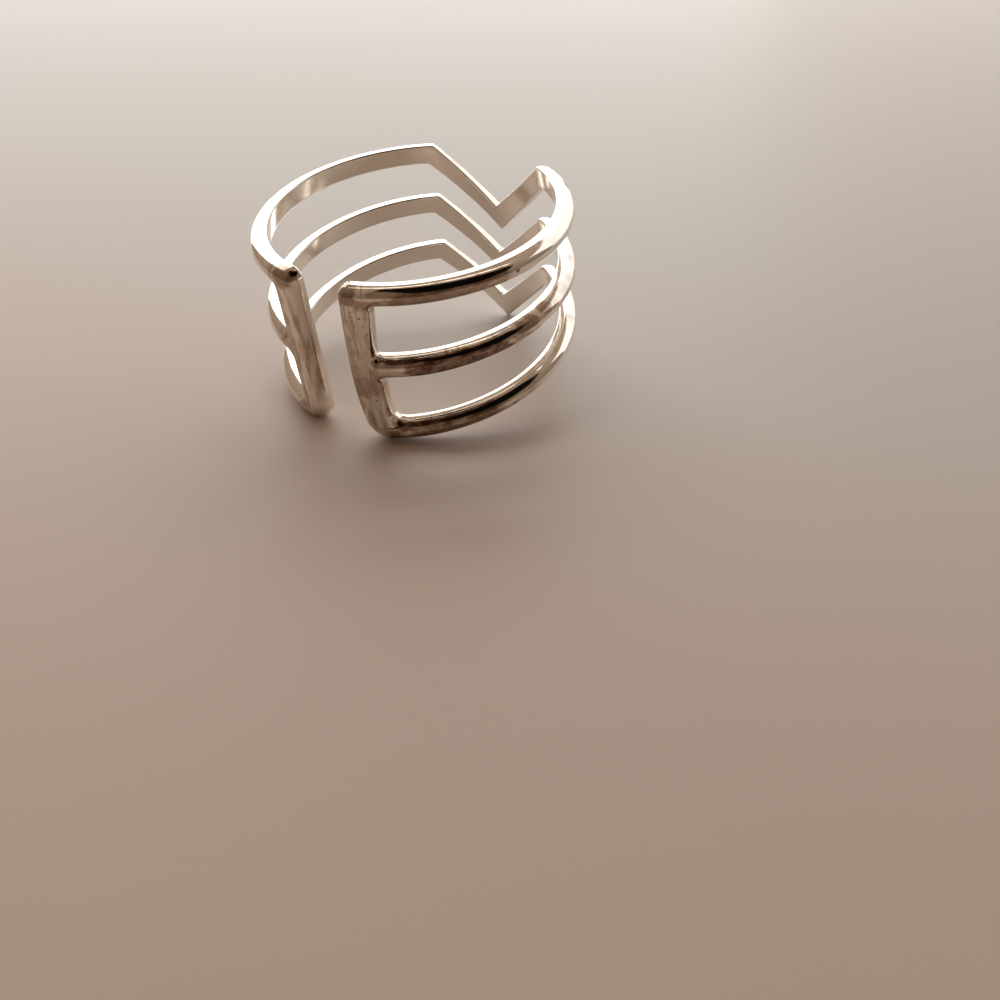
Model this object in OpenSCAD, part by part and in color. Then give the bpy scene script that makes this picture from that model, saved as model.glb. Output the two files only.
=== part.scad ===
// Open finger ring of three domed bands with a chevron front, cast in one piece.
// The ring lies as it rests by itself: on the chevron's lowest tip and the feet of its two end bars.
// +Z is up, -Y is the side of the opening, +Y is the side of the chevron.
// The origin lies under the middle of the resting ring, at the height of the table.

/* [Hoop] */
// Inner width of the finger hole, from side to side
hole_w = 16.6; // [15:0.1:20]
// How much deeper the finger hole is than wide, as the open hoop is bent to an oval
hole_extra = 1.6; // [0.4:0.1:2]
// Thickness of the metal from the finger hole to the top of the dome
wall = 1.14; // [0.9:0.02:1.6]
// Width of one band
band_w = 1.22; // [0.9:0.02:1.6]
// Clear height between two bands, halfway between the opening and the front
window_h = 2.82; // [2:0.02:3.4]
// How far the bands close up at the front, as a share of their mean spacing
taper = 0.25; // [0.05:0.01:0.3]

/* [Chevron] */
// How far the chevron's tip drops below the plain band
drop = 4.24; // [2.5:0.02:5]
// Half the angle that the chevron takes up on the front arc
chevron_half = 32; // [26:0.5:36]

/* [Opening] */
// Half the angle of the opening between the end bars, on the rear arc
gap_half = 10.5; // [6:0.5:14]
// Angle that an end bar takes up on the rear arc
bar_turn = 12.8; // [10:0.2:15]
// Radius of the upper outer corners of the end bars
corner_r = 0.7; // [0.4:0.05:0.9]
// Radius of the outer corners at the feet of the end bars
foot_r = 1.4; // [0.4:0.05:1.5]

/* [Hidden] */
// The oval of the finger hole is made of four arcs: the front, the rear and the two sides.
// They meet in line where their normal points this many degrees to the front or rear of sideways.
meet = 48;
half_w = hole_w / 2;
half_d = half_w + hole_extra / 2;
swing = (half_d - half_w) / (cos(meet) + sin(meet) - 1);
side_off = swing * cos(meet);
end_off = swing * sin(meet);
side_r = half_w + side_off;
end_r = half_d - end_off;
// The cross-section is a flat upright side with a flattened dome on it.
// A higher power makes the dome's shoulders squarer.
dome_power = 2.3;
side_rise = 0.4;
// The dome leaves out this first share of its way up, so it meets the flat side in an edge.
shoulder = 0.1;
dome_parts = 10;
// The arcs' raw metal starts this far inside the finger hole, which is then cut out of each arc.
// The chevrons start half as far in and the end bars twice as far, so that no two inner walls meet.
raw_in = 0.3;
// The end bars stand a little proud of the bands, and the chevrons and side arcs a little under them.
// So each piece's end is hidden in its neighbour.
proud = 0.04;
shy = 0.02;
// The side arcs run on for this many degrees inside the front and rear arcs.
lap = 1.5;
pitch = band_w + window_h;
mid_z = pitch + band_w / 2;
front_mean_r = end_r + wall / 2;
arm_run = front_mean_r * chevron_half * PI / 180;
arm_slope = atan(drop / arm_run);
// Degrees that a mitred corner shifts along the front arc for each millimetre across the band.
mitre = tan(arm_slope / 2) / front_mean_r * 180 / PI;
arm_half = band_w / 2 - shy;
arm_parts = 6;
// The front arcs stop this many degrees short of the chevron's corners, and it reaches twice as far.
short_of = 2;
// The upper and the lower band are each turned by this angle, so that all three close up at the front.
fan = atan(pitch * taper / (hole_w + wall));
// A band's end lies this share of the way across the end bar.
bar_in = 0.45;
bar_width = (end_r + wall) * bar_turn * PI / 180;
// The rounding of a foot takes up no more than this share of the bar's width.
foot_share = 0.8;
foot_corner = min(foot_r, foot_share * bar_width);
bar_end_rise = (end_off + (end_r + side_rise) * cos(gap_half)) * sin(fan);
bar_length = 2 * (pitch + bar_end_rise + proud) + band_w * cos(fan);
raw_h = 2 * mid_z + 4 * drop;

// Height of a whole dome of height 1 at a share of the way from its edge to its middle.
function whole_dome(k) = pow(max(0, 1 - pow(1 - k, dome_power)), 1 / dome_power);

// Share of the dome's height at a distance from an edge, where the dome is full at distance full.
function dome(dist, full) =
    let (k = max(0, min(1, dist / full)))
    let (cut = whole_dome(shoulder))
    (whole_dome(shoulder + (1 - shoulder) * k) - cut) / (1 - cut);

// Metal outside the finger hole at a distance from an edge.
function metal(dist, full, top) = side_rise + (top - side_rise) * dome(dist, full);

// Positions across a piece from -1 to 1, closer together at the edges, where the dome is steep.
function across(n) = [for (i = [0 : n]) -cos(180 * i / n)];

// A point on the front arc (side 1) or the rear arc (side -1).
function on_end(side, r, phi, z) = [r * cos(phi), side * end_off + r * sin(phi), z];

// Height, over a band's own plane, of the line at offset o from the band's middle.
function rise(phi, o) =
    let (u = abs(phi - 90) * PI / 180 * front_mean_r)
    let (arm = -drop + u * tan(arm_slope) + o / cos(arm_slope))
    min(o, arm);

// Carries a band's plain pieces to the place of the band at level -1, 0 or 1.
module at_level(level) {
    translate([0, 0, mid_z + level * pitch])
    rotate([-level * fan, 0, 0])
    children();
}

// The same turn for a point p of a chevron. The arm there is sunk this far along the finger hole.
function to_level(level, p, sunk) =
    let (turn = -level * fan)
    [p[0],
        p[1] * cos(turn) - (p[2] + sunk) * sin(turn),
        p[1] * sin(turn) + p[2] * cos(turn) + mid_z + level * pitch];

// A length of plain band of radius r about the axis, between two angles. under makes it smaller all round.
module plain_arc(r, from, to, under) {
    half = band_w / 2 - under;
    dome_line = [for (k = across(dome_parts))
        [r + metal(half * (1 - abs(k)), half, wall - under), k * half]];
    rotate([0, 0, from])
    rotate_extrude(angle = to - from, $fn = 144)
    polygon(concat([[r - raw_in, -half]], dome_line, [[r - raw_in, half]]));
}

// A closed skin over a list of sections that all have the same number of points.
module skin(sections) {
    m = len(sections[0]);
    last = len(sections) - 1;
    points = [for (s = sections) each s];
    sides = [for (i = [0 : last - 1]) for (j = [0 : m - 1])
        let (a = i * m + j)
        let (b = i * m + (j + 1) % m)
        each [[a, b, a + m], [b, b + m, a + m]]];
    first_cap = [for (j = [1 : m - 2]) [0, j + 1, j]];
    last_cap = [for (j = [1 : m - 2]) [last * m, last * m + j, last * m + j + 1]];
    polyhedron(points = points, faces = concat(sides, first_cap, last_cap), convexity = 12);
}

// A point of a chevron at radius r, an angle on the front arc and an offset across the band.
function on_chevron(level, r, phi, o) =
    to_level(level, on_end(1, r, phi, rise(phi, o)), -rise(phi, 0));

// The dome of a chevron at an angle that may lean with the offset, for the mitred corners.
function chevron_dome(level, phi, leaning) =
    [for (k = across(dome_parts))
        on_chevron(level, end_r + metal(arm_half * (1 - abs(k)), arm_half, wall - shy),
            phi + leaning * k * arm_half, k * arm_half)];

// One whole section of a chevron.
function chevron_section(level, phi, leaning) =
    concat(
        [for (o = [arm_half, -arm_half]) on_chevron(level, end_r - raw_in / 2, phi + leaning * o, o)],
        chevron_dome(level, phi, leaning)
    );

// The two arms of a band's chevron with a short plain end beyond each corner.
module chevron(level) {
    right = 90 - chevron_half;
    left = 90 + chevron_half;
    skin(concat(
        [chevron_section(level, right - 2 * short_of, 0)],
        [chevron_section(level, right, mitre)],
        [for (i = [1 : 2 * arm_parts - 1])
            chevron_section(level, right + chevron_half * i / arm_parts, 0)],
        [chevron_section(level, left, -mitre)],
        [chevron_section(level, left + 2 * short_of, 0)]
    ));
}

// The front of all three bands.
module front() {
    corner = 90 - chevron_half - short_of;
    difference() {
        for (level = [-1 : 1]) {
            at_level(level)
            translate([0, end_off, 0]) {
                plain_arc(end_r, meet, corner, 0);
                plain_arc(end_r, 180 - corner, 180 - meet, 0);
            }
            chevron(level);
        }
        translate([0, end_off, -raw_h / 2])
        cylinder(r = end_r, h = raw_h, $fn = 144);
    }
}

// The side of all three bands on the side of positive X.
module side() {
    difference() {
        for (level = [-1 : 1]) {
            at_level(level)
            translate([-side_off, 0, 0])
            plain_arc(side_r, -meet - lap, meet + lap, shy / 2);
        }
        translate([-side_off, 0, -raw_h / 2])
        cylinder(r = side_r + shy / 2, h = raw_h, $fn = 144);
    }
}

// Radius of the end bar's nearer outer corner at a height v.
function corner_at(v) = v < bar_length / 2 ? foot_corner : corner_r;

// Distance from the end bar's nearest edge. c runs across the bar from the gap, v along it.
function bar_edge(c, v) =
    let (r = corner_at(v))
    let (end = min(v, bar_length - v))
    let (cx = r - c)
    let (cy = r - end)
    let (near_gap = cx > 0 && cy > 0 ? r - norm([cx, cy]) : min(c, end))
    min(near_gap, bar_width - c);

// Where the bar's gap side begins at a height, with the rounded corners taken off.
function bar_start(v) =
    let (r = corner_at(v))
    let (cy = max(0, r - min(v, bar_length - v)))
    r - sqrt(max(0, r * r - cy * cy));

// Places across the bar at a height, closer together at its sides.
function bar_places(v) =
    let (c0 = bar_start(v))
    [for (k = across(dome_parts)) c0 + (bar_width - c0) * (k + 1) / 2];

// Heights of the bar's sections, closer together at its rounded ends.
function bar_heights() =
    let (n = 6)
    let (near = [for (i = [0 : n]) 1 - cos(90 * i / n)])
    concat(foot_corner * near, [for (i = [n : -1 : 0]) bar_length - corner_r * near[i]]);

// A point of the bar on the side of positive X, from its place across and along it.
function on_bar(r, c, v) =
    on_end(-1, r, gap_half + c / bar_width * bar_turn - 90, mid_z - bar_length / 2 + v);

function bar_metal(c, v) = proud + metal(bar_edge(c, v), band_w / 2, wall);

// The dome of the bar at a height.
function bar_dome(v) = [for (c = bar_places(v)) on_bar(end_r + bar_metal(c, v), c, v)];

// One level section of the bar.
function bar_section(v) =
    concat([for (c = [bar_width, bar_start(v)]) on_bar(end_r - 2 * raw_in, c, v)], bar_dome(v));

module end_bar() {
    heights = bar_heights();
    skin([for (i = [len(heights) - 1 : -1 : 0]) bar_section(heights[i])]);
}

// The rear of all three bands with the two end bars.
module rear() {
    start = gap_half + bar_turn * bar_in - 90;
    difference() {
        union() {
            for (level = [-1 : 1]) {
                at_level(level)
                translate([0, -end_off, 0]) {
                    plain_arc(end_r, start, -meet, 0);
                    plain_arc(end_r, 180 + meet, 180 - start, 0);
                }
            }
            end_bar();
            mirror([1, 0, 0])
            end_bar();
        }
        translate([0, -end_off, -raw_h / 2])
        cylinder(r = end_r, h = raw_h, $fn = 144);
    }
}

// Points of an end bar and of the lowest chevron's tip, as depth and height.
bar_points = [for (v = bar_heights()) for (p = bar_dome(v)) [p[1], p[2]]];
tip_dome = [for (p = chevron_dome(-1, 90, 0)) [p[1], p[2]]];
// The tip's lower edge in the finger hole, under the middle of the band by edge_drop.
edge_drop = arm_half / cos(arm_slope);
edge_y = (half_d - edge_drop * sin(fan)) / cos(fan);
tip_edge = [half_d, edge_y * sin(fan) - (drop + edge_drop) * cos(fan) + mid_z - pitch];
tip_points = concat(tip_dome, [tip_edge]);

// Height of a point of depth y and height z, once the ring leans.
function leaned(lean, p) = p[0] * sin(lean) + p[1] * cos(lean);

// The lowest of some points once the ring leans.
function lowest(points, lean) =
    let (low = min([for (p = points) leaned(lean, p)]))
    [for (p = points) if (leaned(lean, p) <= low) p][0];

// The lean at which foot and tip are equally low, found by a few corrections.
function resting_lean(n, lean = 12) =
    let (f = lowest(bar_points, lean))
    let (t = lowest(tip_points, lean))
    n == 0 ? lean : resting_lean(n - 1, atan((f[1] - t[1]) / (t[0] - f[0])));

lean = resting_lean(4);
lift = -leaned(lean, lowest(bar_points, lean));
// How far the resting ring reaches towards the opening and towards the chevron.
reach_gap = max([for (p = bar_points) p[1] * sin(lean) - p[0] * cos(lean)]);
reach_tip = max([for (p = tip_points) p[0] * cos(lean) - p[1] * sin(lean)]);

module ring() {
    color("silver")
    translate([0, (reach_gap - reach_tip) / 2, lift])
    rotate([lean, 0, 0]) {
        front();
        side();
        mirror([1, 0, 0])
        side();
        rear();
    }
}

ring();
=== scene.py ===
"""Visual model of an open chevron ring in polished silver, resting on a pale table.

The ring is drawn flat, as a strip pattern of three bands and two end bars. A Geometry Nodes tree
raises the domes from the pattern's edges and wraps it round the oval of the finger hole.
"""
from __future__ import annotations

import logging
import math
from dataclasses import dataclass, field
from enum import Enum
from typing import Callable, Iterable, Sequence, Union

import bpy
import numpy as np
from mathutils import Matrix, Vector


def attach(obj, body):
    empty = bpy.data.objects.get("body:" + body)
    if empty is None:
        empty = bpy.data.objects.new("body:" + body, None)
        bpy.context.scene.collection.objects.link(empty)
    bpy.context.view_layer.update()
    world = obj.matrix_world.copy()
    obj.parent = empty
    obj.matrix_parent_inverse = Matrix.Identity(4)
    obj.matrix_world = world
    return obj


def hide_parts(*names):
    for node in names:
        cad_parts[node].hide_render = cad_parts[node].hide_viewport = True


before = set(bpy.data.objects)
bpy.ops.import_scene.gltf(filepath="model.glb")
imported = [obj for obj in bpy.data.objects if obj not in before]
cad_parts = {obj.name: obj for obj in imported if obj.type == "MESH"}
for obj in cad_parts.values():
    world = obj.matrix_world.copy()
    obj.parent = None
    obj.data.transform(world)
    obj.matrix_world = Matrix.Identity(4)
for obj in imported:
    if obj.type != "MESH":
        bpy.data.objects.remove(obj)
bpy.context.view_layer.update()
# Metres in a millimetre
MM = 0.001
log = logging.getLogger("open_chevron_ring")
Socket = bpy.types.NodeSocket
Sockets = bpy.types.bpy_prop_collection
Value = Union[float, Socket]
Span = tuple[float, float]
Triple = tuple[float, float, float]


class Level(Enum):
    """The three bands, by their place along the finger hole."""

    LOWER = -1
    MIDDLE = 0
    UPPER = 1


class NodeSheet:
    """Short ways to add and link the nodes of one tree."""

    def __init__(self, tree: bpy.types.NodeTree) -> None:
        """Keeps the tree that nodes are added to."""
        self.tree = tree

    def add(self, kind: str, **settings: object) -> bpy.types.Node:
        """Adds one node.

        Args:
            kind: The node's type name.
            settings: Properties to set on it.

        Returns:
            The new node.
        """
        node = self.tree.nodes.new(kind)
        for name, value in settings.items():
            setattr(node, name, value)
        return node

    def feed(self, socket: Socket, value: object) -> None:
        """Links a socket to an output, or sets its value.

        Args:
            socket: The input to feed.
            value: An output, or a plain value.
        """
        if isinstance(value, Socket):
            self.tree.links.new(value, socket)
        else:
            socket.default_value = value

    def math(self, operation: str, *values: Value, clamp: bool = False) -> Socket:
        """Adds a Math node.

        Args:
            operation: The node's operation.
            values: Its inputs in order, each a number or an output.
            clamp: Whether the result is kept between 0 and 1.

        Returns:
            The node's result.
        """
        node = self.add("ShaderNodeMath", operation=operation, use_clamp=clamp)
        for socket, value in zip(node.inputs, values):
            self.feed(socket, value)
        return node.outputs[0]

    def mix(self, share: Value, low: Value, high: Value) -> Socket:
        """Mixes two numbers.

        Args:
            share: How much of high is taken, from 0 to 1.
            low: The value at share 0.
            high: The value at share 1.

        Returns:
            The mixed value.
        """
        node = self.add("ShaderNodeMix", data_type="FLOAT")
        for socket, value in zip((node.inputs[0], node.inputs[2], node.inputs[3]), (share, low, high)):
            self.feed(socket, value)
        return node.outputs[0]

    def mix_colour(self, share: Value, low: object, high: object) -> Socket:
        """Mixes two colours.

        Args:
            share: How much of high is taken, from 0 to 1.
            low: The colour at share 0, as an output or three numbers.
            high: The colour at share 1, the same way.

        Returns:
            The mixed colour.
        """
        node = self.add("ShaderNodeMix", data_type="RGBA")
        self.feed(node.inputs[0], share)
        for socket, colour in zip((node.inputs[6], node.inputs[7]), (low, high)):
            self.feed(socket, colour if isinstance(colour, Socket) else (*colour, 1.0))
        return node.outputs[2]

    def ramp(self, value: Value, low: float, high: float,
             to_low: float = 0.0, to_high: float = 1.0) -> Socket:
        """Maps a range smoothly onto another.

        Args:
            value: The value to map.
            low: The start of its range.
            high: The end of its range.
            to_low: What the start becomes.
            to_high: What the end becomes.

        Returns:
            The mapped value.
        """
        node = self.add("ShaderNodeMapRange", interpolation_type="SMOOTHSTEP")
        for index, number in enumerate((value, low, high, to_low, to_high)):
            self.feed(node.inputs[index], number)
        return node.outputs[0]

    def parts(self, vector: Socket) -> Sockets:
        """Splits a vector.

        Args:
            vector: The vector.

        Returns:
            Its X, Y and Z.
        """
        node = self.add("ShaderNodeSeparateXYZ")
        self.feed(node.inputs[0], vector)
        return node.outputs

    def vector(self, *parts: Value) -> Socket:
        """Joins three numbers.

        Args:
            parts: X, Y and Z.

        Returns:
            The vector.
        """
        node = self.add("ShaderNodeCombineXYZ")
        for socket, value in zip(node.inputs, parts):
            self.feed(socket, value)
        return node.outputs[0]

    def passed(self, geometry: Socket, kind: str, name: str = "Geometry", **values: object) -> Socket:
        """Passes a geometry through one more node.

        Args:
            geometry: What goes in.
            kind: The node's type name.
            name: Name of the socket it goes in at and comes out from.
            values: What the node's other inputs are fed.

        Returns:
            The geometry that comes out.
        """
        node = self.add(kind)
        self.feed(node.inputs[name], geometry)
        for key, value in values.items():
            self.feed(node.inputs[key], value)
        return node.outputs[name]


@dataclass
class HoopSizes:
    """Sizes of the ring in millimetres, and angles in degrees.

    The hole is an oval of four arcs, which meet at the angle meet. The bands close up to the front by
    the share taper of their spacing. A chevron takes up chevron_half on each side of the front and its
    tip lies lower by drop. The opening takes up gap_half on each side of the rear, and an end bar takes
    up bar_turn. Bands and bars have a flat side of height side_rise under a dome, whose edge is cut off
    by the share shoulder. The ring rests with its hole's axis leaning, moved back by shift and up by
    lift. The rounded edges and window corners are the visual model's own, and so is dome_top, which
    lies a little under the full wall.
    """

    hole_w: float = 16.6
    hole_extra: float = 1.6
    wall: float = 1.14
    band_w: float = 1.22
    window_h: float = 2.82
    taper: float = 0.25
    drop: float = 4.24
    chevron_half: float = 32.0
    gap_half: float = 10.5
    bar_turn: float = 12.8
    corner_r: float = 0.7
    foot_r: float = 1.4
    window_corner_r: float = 0.22
    window_foot_r: float = 0.65
    shoulder: float = 0.1
    edge_round: float = 0.1
    meet: float = 48.0
    side_rise: float = 0.4
    dome_power: float = 2.3
    dome_top: float = 1.12
    lean: float = 10.4091
    lift: float = 2.20065
    shift: float = 0.452

    def __post_init__(self) -> None:
        """Works out the oval of four arcs and the lengths along the flat pattern."""
        turn = math.radians(self.meet)
        half_w = self.hole_w / 2
        half_d = half_w + self.hole_extra / 2
        swing = (half_d - half_w) / (math.cos(turn) + math.sin(turn) - 1)
        self.side_off = swing * math.cos(turn)
        self.end_off = swing * math.sin(turn)
        self.side_r = half_w + self.side_off
        self.end_r = half_d - self.end_off
        self.pitch = self.band_w + self.window_h
        self.mid_z = self.pitch + self.band_w / 2
        self.fan = math.atan(self.pitch * self.taper / (self.hole_w + self.wall))
        self.end_mean = self.end_r + self.wall / 2
        self.side_mean = self.side_r + self.wall / 2
        self.front_run = self.end_mean * math.radians(90 - self.meet)
        self.side_run = self.side_mean * math.radians(2 * self.meet)
        self.arm_run = self.end_mean * math.radians(self.chevron_half)
        self.slope = math.atan(self.drop / self.arm_run)
        half_turn = self.front_run + self.side_run
        self.gap_s = half_turn + self.end_mean * math.radians(90 - self.meet - self.gap_half)
        self.window_s = self.gap_s - self.end_mean * math.radians(self.bar_turn)

    def depth(self, s: np.ndarray) -> np.ndarray:
        """Depth of the finger hole's wall, from front to rear, at places along the pattern.

        Args:
            s: Distances along the pattern from the front.

        Returns:
            The Y coordinate of the wall, before the ring leans.
        """
        a = np.abs(s)
        angle = (np.minimum(a, self.front_run) / self.end_mean
                 + np.clip(a - self.front_run, 0, self.side_run) / self.side_mean
                 + np.maximum(a - self.front_run - self.side_run, 0) / self.end_mean)
        limit = math.radians(90 - self.meet)
        front, rear = angle < limit, angle > math.pi - limit
        radius = np.where(front | rear, self.end_r, self.side_r)
        return np.where(front, self.end_off, np.where(rear, -self.end_off, 0.0)) + radius * np.cos(angle)


@dataclass(frozen=True)
class HandMade:
    """How the hand-made ring strays from a true one, in millimetres on the flat pattern.

    A chevron's tip slants by tip_slant, more at its lower edge, as slant_bias says. The right bar's foot
    is swung by foot_swing and its middle by bow, the left bar is moved by left_swing and turned by
    left_twist. The bend begins at bend_start and is full bend_spare before the windows' ends. The middle
    band is wider by belly, which comes in over belly_run from belly_start. The windows' ends at the right
    bar lean: window_slants are the shifts at the heights window_ends.
    """

    tip_slant: float = 0.2
    slant_bias: float = 0.75
    foot_swing: float = 0.42
    bow: float = 0.15
    left_swing: float = 0.36
    left_twist: float = 0.1
    bar_half: float = 5.0
    bend_start: float = 15.0
    bend_spare: float = 1.0
    belly: float = 0.13
    belly_start: float = 16.0
    belly_run: float = 7.0
    window_ends: tuple[float, ...] = (0.6, 3.9, 5.3, 8.5)
    window_slants: tuple[float, ...] = (0.0, 0.11, -0.13, 0.08)


@dataclass
class FlatPattern:
    """The ring's metal drawn flat: x runs along the hoop from the front, y along the finger hole.

    The steps say how many points a stretch has, and crowding how much closer together they are at the
    end bar. A mitre is softened over softness and fades out over mitre_fade. Rounding a window's corner
    moves points as far as corner_reach times its radius. Points that agree to weld_digits are one.
    """

    sizes: HoopSizes
    hand: HandMade = HandMade()
    across: int = 24
    arm_steps: int = 40
    band_steps: int = 150
    bar_steps: int = 26
    window_steps: int = 34
    crowding: float = 1.3
    softness: float = 0.05
    mitre_fade: float = 2.0
    corner_reach: float = 1.6
    weld_digits: int = 5
    points: list[np.ndarray] = field(default_factory=list)
    fans: list[np.ndarray] = field(default_factory=list)
    quads: list[np.ndarray] = field(default_factory=list)
    slants: list[np.ndarray] = field(default_factory=list)

    def offsets(self) -> np.ndarray:
        """Offsets of a band's rows from its middle, closer together at its edges."""
        return -self.sizes.band_w / 2 * np.cos(np.linspace(0, np.pi, self.across + 1))

    def band_height(self, level: Level, s: np.ndarray, offset: np.ndarray) -> np.ndarray:
        """Height of a band's row.

        Args:
            level: Which band.
            s: Distances along the pattern.
            offset: Distance of the row from the band's middle.

        Returns:
            Heights above the lowest plain band's lower edge.
        """
        z = self.sizes
        base = z.mid_z + level.value * (z.pitch - math.tan(z.fan) * z.depth(s))
        run = np.sqrt(s * s + self.softness**2)
        arm = -z.drop + run * math.tan(z.slope) + offset / math.cos(z.slope)
        gap = offset - arm
        low = (offset + arm - np.sqrt(gap * gap + self.softness**2)) / 2
        if level is not Level.MIDDLE:
            return base + low
        hand = self.hand
        wider = np.clip((s - hand.belly_start) / hand.belly_run, 0, 1) * np.clip(-2 * offset / z.band_w, 0, 1)
        return base + low - hand.belly * wider

    def add_grid(self, x: np.ndarray, y: np.ndarray, fan: np.ndarray, slant: np.ndarray) -> None:
        """Adds a sheet of quads.

        Args:
            x: Distances along the pattern, one row of the array for each row of points.
            y: Heights of the points.
            fan: How much each point tilts outwards, which is opposite for the upper and the lower band.
            slant: How far each point is pushed towards +X, as no hand-made tip is quite upright.
        """
        self.slants.append(np.broadcast_to(slant, x.shape).ravel())
        rows, columns = x.shape
        start = sum(len(grid) for grid in self.points)
        index = start + np.arange(rows * columns).reshape(rows, columns)
        self.points.append(np.stack([x.ravel(), y.ravel()], 1))
        self.fans.append(np.broadcast_to(fan, x.shape).ravel())
        corners = (index[:-1, :-1], index[:-1, 1:], index[1:, 1:], index[1:, :-1])
        self.quads.append(np.stack(corners, -1).reshape(-1, 4))

    def add_band(self, level: Level) -> None:
        """Adds the right half of a band, from the chevron's tip to the end bar.

        Args:
            level: Which band.
        """
        z, hand = self.sizes, self.hand
        offset = self.offsets()[:, None]
        corner = z.arm_run - offset * math.tan(z.slope / 2)
        arm = corner * np.linspace(0, 1, self.arm_steps + 1)[None, :]
        share = 1 - np.linspace(1, 0, self.band_steps + 1) ** self.crowding
        stations = z.arm_run + (z.window_s - z.arm_run) * share[None, 1:]
        fade = np.clip(1 - (stations - z.arm_run) / self.mitre_fade, 0, 1)
        plain = stations - offset * math.tan(z.slope / 2) * fade * fade * (3 - 2 * fade)
        s = np.concatenate([arm, plain], 1)
        s[:, -1] = z.window_s
        fan = np.array(-level.value * math.tan(z.fan))
        uneven = hand.slant_bias - offset / (z.band_w / 2)
        slant = hand.tip_slant * uneven * np.clip(1 - s / z.arm_run, 0, 1)
        self.add_grid(s, self.band_height(level, s, offset), fan, slant)

    def bar_rows(self, s: np.ndarray) -> tuple[np.ndarray, np.ndarray]:
        """Rows of points that run across the end bar, through all bands and windows.

        Args:
            s: Distances along the pattern of the bar's columns.

        Returns:
            The rows' heights and their tilts.
        """
        z = self.sizes
        heights, fans = [], []
        for level in Level:
            tilt = -level.value * math.tan(z.fan)
            for offset in self.offsets():
                heights.append(self.band_height(level, s, np.array(offset)))
                fans.append(np.full_like(s, tilt))
            if level is not Level.UPPER:
                above = Level(level.value + 1)
                low = heights[-1]
                high = self.band_height(above, s, np.array(-z.band_w / 2))
                for share in (1 - np.cos(np.linspace(0, np.pi, self.window_steps + 1)[1:-1])) / 2:
                    heights.append(low + (high - low) * share)
                    fans.append(np.full_like(s, tilt - math.tan(z.fan) * share))
        return np.array(heights), np.array(fans)

    def add_bar(self) -> None:
        """Adds the right end bar, with its outer corners rounded."""
        z = self.sizes
        share = (1 - np.cos(np.linspace(0, np.pi, self.bar_steps + 1))) / 2
        s = z.gap_s + (z.window_s - z.gap_s) * share
        y, fan = self.bar_rows(s)
        foot = self.corner_start(y[:, 0] - y[0, 0], z.foot_r)
        top = self.corner_start(y[-1, 0] - y[:, 0], z.corner_r)
        start = foot + top
        x = (z.gap_s - start)[:, None] + (z.window_s - z.gap_s + start)[:, None] * share[None, :]
        y = np.stack([np.interp(row, s[::-1], height[::-1]) for row, height in zip(x, y)])
        self.round_window_corners(x, y)
        self.add_grid(x[:, ::-1], y[:, ::-1], fan[:, ::-1], np.array(0.0))

    def corner_start(self, edge: np.ndarray, radius: float) -> np.ndarray:
        """How far a rounded outer corner of the bar steps back from the bar's straight edge.

        Args:
            edge: Distance of each row from the bar's end.
            radius: The corner's radius.

        Returns:
            The step back of each row.
        """
        short = np.maximum(radius - edge, 0)
        return radius - np.sqrt(np.maximum(radius**2 - short**2, 0))

    def window_corners(self) -> list[tuple[float, float, int, float]]:
        """Corners of the windows at the right end bar.

        Returns:
            For each its place, the way up into its window and its radius.
        """
        z = self.sizes
        half = z.band_w / 2
        place = np.array(z.window_s)
        corners = []
        for level in Level:
            if level is not Level.UPPER:
                radius = z.window_foot_r if level is Level.LOWER else z.window_corner_r
                corners.append((z.window_s, float(self.band_height(level, place, np.array(half))), 1, radius))
            if level is not Level.LOWER:
                low = float(self.band_height(level, place, np.array(-half)))
                corners.append((z.window_s, low, -1, z.window_corner_r))
        return corners

    def round_window_corners(self, x: np.ndarray, y: np.ndarray) -> None:
        """Moves points near the windows' corners so that the corners are rounded.

        Args:
            x: Distances along the pattern, changed in place.
            y: Heights, changed in place.
        """
        for cx, cy, up, r in self.window_corners():
            along = cx - x
            above = (y - cy) * up
            on_bar = (above > 0) & (above >= along)
            # Place on the corner's outline: above 0 up the bar's edge, below 0 out along the band's
            place = np.where(on_bar, above, np.where(along > 0, -along, 0.0))
            # Distance from that outline into the metal
            under = np.where(along > 0, -above, np.hypot(along, above))
            depth = np.where(above > 0, np.where(along > 0, 0.0, -along), under)
            turn = np.radians(45 + 45 * np.clip(place / r, -1, 1))
            move_along = (r - r * np.sin(turn)) - np.where(place > 0, 0.0, -place)
            move_above = (r - r * np.cos(turn)) - np.where(place > 0, place, 0.0)
            fade = np.clip(1 - depth / (self.corner_reach * r), 0, 1) * (np.abs(place) < r)
            x -= move_along * fade
            y += up * move_above * fade

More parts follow.
